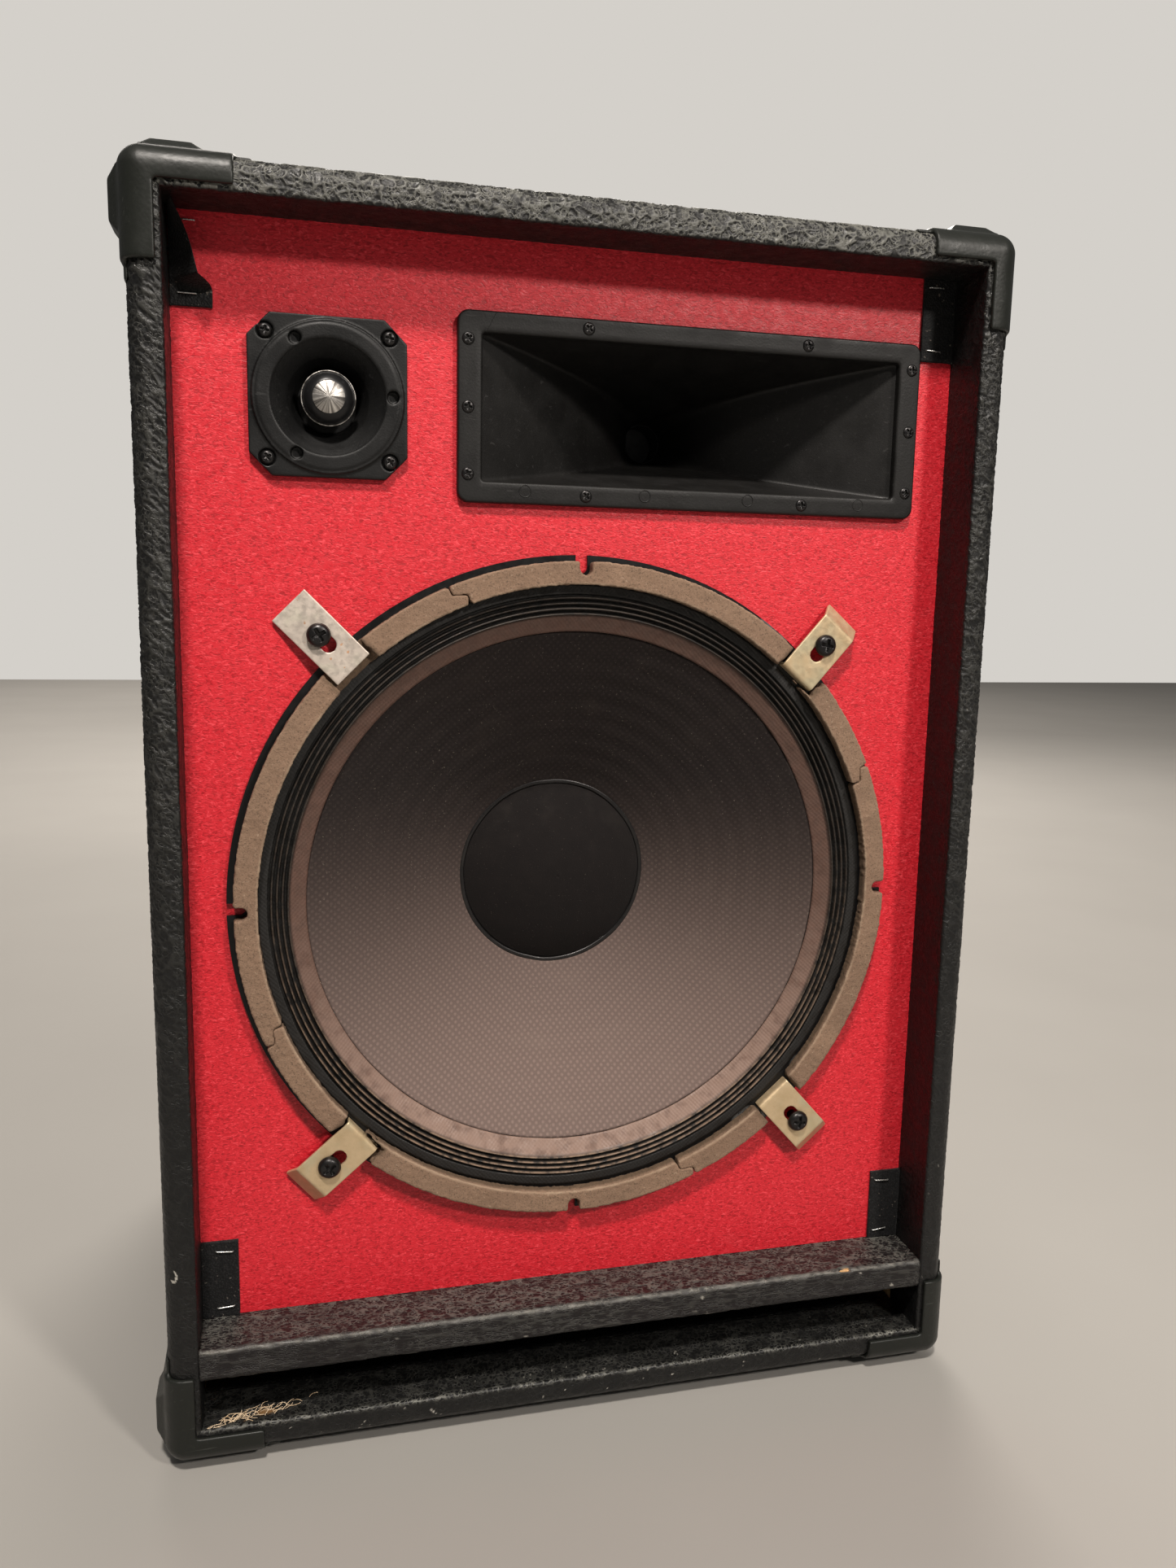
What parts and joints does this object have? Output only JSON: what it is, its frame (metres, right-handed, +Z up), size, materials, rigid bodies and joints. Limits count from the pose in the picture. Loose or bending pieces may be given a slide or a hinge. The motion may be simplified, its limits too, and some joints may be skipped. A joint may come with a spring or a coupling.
{
  "type": "pa speaker cabinet",
  "caption": "Two-way-plus-tweeter PA speaker cabinet with a 15 inch woofer held by slotted clamps, a flared horn, a bullet tweeter and a slot port",
  "frame": {"origin": "on the floor, under the middle of the cabinet", "axes": "+X to the right seen from the front, +Y to the back, +Z up"},
  "size_m": [0.484, 0.386, 0.692],
  "materials": {
    "black_vinyl": "satin, coarse bark grain",
    "red_vinyl": "satin, fine leather grain",
    "plywood": "raw birch plywood",
    "softwood": "raw softwood",
    "black_paint": "textured black paint on board",
    "hook_tape": "matt woven tape",
    "bright_steel": "bright",
    "black_steel": "black oxide, semi-gloss",
    "black_frame": "satin black",
    "fibreboard": "matt grey-brown pressed fibre",
    "doped_cloth": "satin, dusty",
    "cone_paper": "matt woven-textured paper",
    "cap_felt": "matt felt",
    "copper": "enamelled",
    "spider_cloth": "resin-dipped cloth",
    "zinc_steel": "zinc plated",
    "ferrite": "matt",
    "zinc_clamp": "dull zinc plate with rust spots",
    "yellow_clamp": "yellow passivated",
    "tweeter_plastic": "satin, fine grain",
    "turned_alloy": "turned",
    "horn_plastic": "satin",
    "corner_plastic": "satin, worn",
    "board": "hardboard",
    "capacitor_film": "gloss",
    "dish_plastic": "fine texture",
    "bail_steel": "powder coated",
    "wadding": "polyester wadding",
    "wire_insulation": "pvc"
  },
  "bodies": {
    "cabinet": {"vinyl_covering": "black_vinyl", "top_panel": "plywood", "bottom_panel": "plywood", "left_panel": "plywood", "right_panel": "plywood", "rear_panel": "black_paint", "baffle_board": "plywood", "baffle_facing": "red_vinyl", "port_shelf": "plywood", "shelf_covering": "black_vinyl", "battens": "softwood", "corner_front_top_left": "corner_plastic", "corner_front_top_right": "corner_plastic", "corner_front_bottom_left": "corner_plastic", "corner_front_bottom_right": "corner_plastic", "corner_rear_top_left": "corner_plastic", "corner_rear_top_right": "corner_plastic", "corner_rear_bottom_left": "corner_plastic", "corner_rear_bottom_right": "corner_plastic", "corner_screws": "black_steel", "hook_tabs": "hook_tape", "staples": "bright_steel", "woofer_frame": "black_frame", "woofer_gasket": "fibreboard", "woofer_surround": "doped_cloth", "spider": "spider_cloth", "front_plate": "zinc_steel", "ring_magnet": "ferrite", "pole_plate": "zinc_steel", "clamp_screws": "black_steel", "tweeter_housing": "tweeter_plastic", "tweeter_bullet": "turned_alloy", "tweeter_motor": "ferrite", "tweeter_screws": "black_steel", "horn": "horn_plastic", "horn_driver": "ferrite", "horn_driver_cap": "tweeter_plastic", "horn_screws": "black_steel", "crossover_board": "board", "crossover_coils": "copper", "crossover_capacitors": "capacitor_film", "terminal_dish": "dish_plastic", "jack_sockets": "zinc_steel", "terminal_screws": "black_steel", "handle_dish_left": "dish_plastic", "handle_dish_right": "dish_plastic", "handle_screws": "black_steel", "damping_wadding": "wadding", "rear_screws": "black_steel", "wiring": "wire_insulation"},
    "woofer_cone": {"woofer_cone": "cone_paper", "dust_cap": "cap_felt", "voice_coil": "copper"},
    "clamp_top_left": {"clamp_top_left": "zinc_clamp"},
    "clamp_top_right": {"clamp_top_right": "yellow_clamp"},
    "clamp_bottom_left": {"clamp_bottom_left": "yellow_clamp"},
    "clamp_bottom_right": {"clamp_bottom_right": "yellow_clamp"},
    "handle_left": {"handle_bail_left": "bail_steel"},
    "handle_right": {"handle_bail_right": "bail_steel"}
  },
  "joints": [
    {"name": "cone_travel", "type": "slide", "parent": "cabinet", "child": "woofer_cone", "axis": [0, -1, 0], "range_m": [-0.005, 0.005], "stiffness_N_per_m": 2500, "deforming": ["woofer_surround", "spider"]},
    {"name": "clamp_top_left_slide", "type": "slide", "parent": "cabinet", "child": "clamp_top_left", "axis": [-0.7071, 0, 0.7071], "range_m": [0, 0.003]},
    {"name": "clamp_top_right_slide", "type": "slide", "parent": "cabinet", "child": "clamp_top_right", "axis": [0.6561, 0, 0.7547], "range_m": [0, 0.007]},
    {"name": "clamp_bottom_left_slide", "type": "slide", "parent": "cabinet", "child": "clamp_bottom_left", "axis": [-0.7547, 0, -0.6561], "range_m": [0, 0.007]},
    {"name": "clamp_bottom_right_slide", "type": "slide", "parent": "cabinet", "child": "clamp_bottom_right", "axis": [0.6691, 0, -0.7431], "range_m": [0, 0.007]},
    {"name": "handle_left_swing", "type": "hinge", "parent": "cabinet", "child": "handle_left", "pos_m": [-0.226, 0, 0.433], "axis": [0, 1, 0], "range_deg": [0, 90]},
    {"name": "handle_right_swing", "type": "hinge", "parent": "cabinet", "child": "handle_right", "pos_m": [0.226, 0, 0.433], "axis": [0, -1, 0], "range_deg": [0, 90]}
  ]
}
